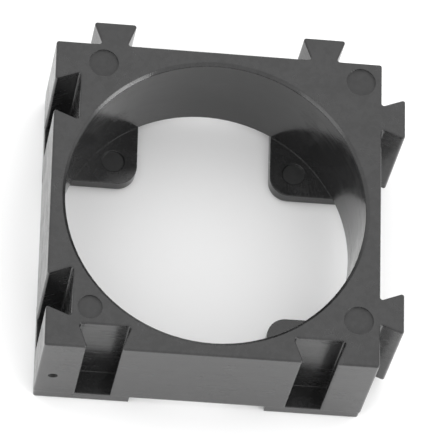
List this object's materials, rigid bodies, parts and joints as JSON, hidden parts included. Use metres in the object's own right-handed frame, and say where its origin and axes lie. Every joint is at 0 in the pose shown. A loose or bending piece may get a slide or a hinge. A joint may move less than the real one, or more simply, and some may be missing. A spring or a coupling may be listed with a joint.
{
  "type": "battery cell holder bracket",
  "caption": "Square moulded holder for one 18 mm cylindrical battery cell: round socket, corner stop tabs, and dovetails that slide together with like holders into a grid.",
  "frame": {"origin": "on the axis of the cell socket, at the seat plane where the end of the cell meets the corner tabs", "axes": "+Z out of the mouth along the cell; the grooved sides face -X and -Y, the sides with tongues face +X and +Y"},
  "size_m": [0.0217, 0.0217, 0.0085],
  "materials": {
    "black_abs": "satin"
  },
  "bodies": {
    "root": {"cell_bracket": "black_abs"}
  },
  "joints": []
}
